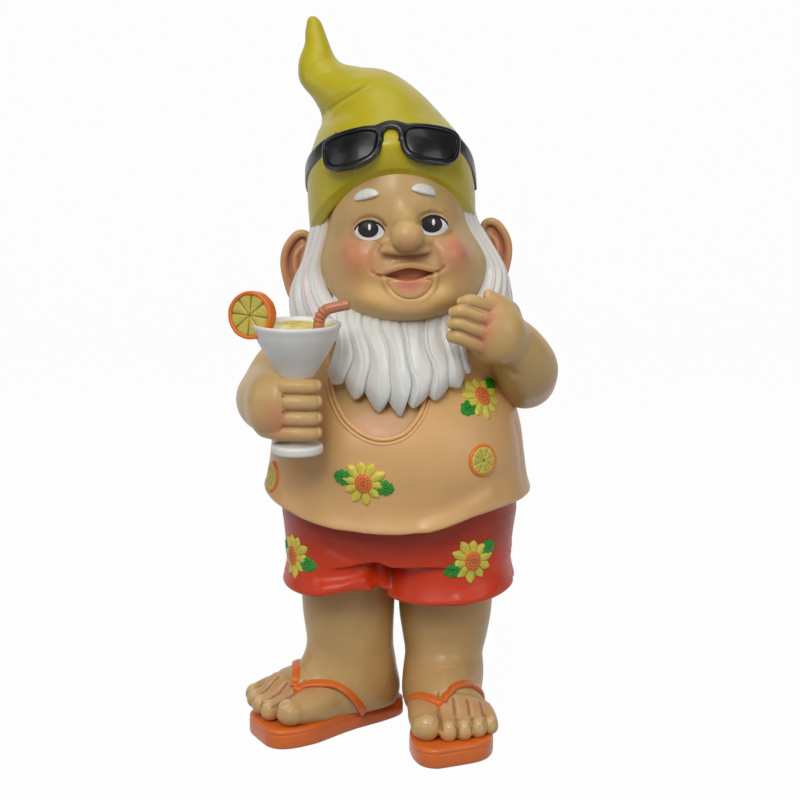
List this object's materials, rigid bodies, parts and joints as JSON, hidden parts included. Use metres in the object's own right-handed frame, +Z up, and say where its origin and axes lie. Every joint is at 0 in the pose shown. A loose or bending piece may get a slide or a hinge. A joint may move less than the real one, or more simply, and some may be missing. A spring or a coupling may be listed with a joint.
{
  "type": "garden gnome",
  "caption": "Standing garden gnome in holiday dress: tall soft hat, beard, vest, shorts and sandals, one hand round a cocktail glass, the other laid on the beard.",
  "frame": {"origin": "middle of the figure's footprint box, on the ground under the sandals", "axes": "+Z up from the soles to the hat, -Y the way the figure faces, +X towards the figure's own left"},
  "size_m": [0.1796, 0.1556, 0.4001],
  "materials": {
    "skin": "satin hand-painted polyresin, pink washes on cheeks, knuckles and toes",
    "nail": "satin paint, paler than the skin",
    "lip_pink": "satin pink-red paint",
    "hair_white": "satin white paint over carved locks",
    "hat_olive": "satin olive-yellow paint",
    "vest_apricot": "satin apricot paint",
    "shorts_red": "satin vermilion paint",
    "sandal_orange": "satin orange paint",
    "strap_orange": "satin orange paint",
    "petal_yellow": "satin yellow paint",
    "centre_orange": "satin orange paint over a seeded texture",
    "leaf_green": "satin dark green paint",
    "rind_yellow": "satin amber paint",
    "rind_orange": "satin orange paint",
    "flesh_yellow": "satin yellow paint in carved segments",
    "glass_white": "satin white paint",
    "drink_yellow": "gloss yellow paint",
    "straw_copper": "satin copper-brown paint",
    "gloss_black": "gloss black paint",
    "lens_black": "high-gloss black paint"
  },
  "bodies": {
    "root": {"right_sandal_sole": "sandal_orange", "left_sandal_sole": "sandal_orange", "right_sandal_straps": "strap_orange", "left_sandal_straps": "strap_orange", "right_leg": "skin", "left_leg": "skin", "right_toenails": "nail", "left_toenails": "nail", "shorts": "shorts_red", "shorts_flower_petals": "petal_yellow", "shorts_flower_centres": "centre_orange", "shorts_flower_leaves": "leaf_green", "vest": "vest_apricot", "neck_binding": "vest_apricot", "vest_flower_petals": "petal_yellow", "vest_flower_centres": "centre_orange", "vest_flower_leaves": "leaf_green", "vest_citrus_rinds": "rind_yellow", "vest_citrus_flesh": "flesh_yellow", "chest": "skin", "right_arm": "skin", "left_arm": "skin", "right_hand": "skin", "left_hand": "skin", "head": "skin", "nose": "skin", "right_ear": "skin", "left_ear": "skin", "upper_lip": "lip_pink", "tongue": "lip_pink", "eye_whites": "hair_white", "eye_pupils": "gloss_black", "eyebrows": "hair_white", "beard": "hair_white", "hair": "hair_white", "hat": "hat_olive", "sunglasses_frame": "gloss_black", "sunglasses_lenses": "lens_black", "sunglasses_temples": "gloss_black", "glass": "glass_white", "drink": "drink_yellow", "straw": "straw_copper", "fruit_slice_rind": "rind_orange", "fruit_slice_flesh": "flesh_yellow"}
  },
  "joints": []
}
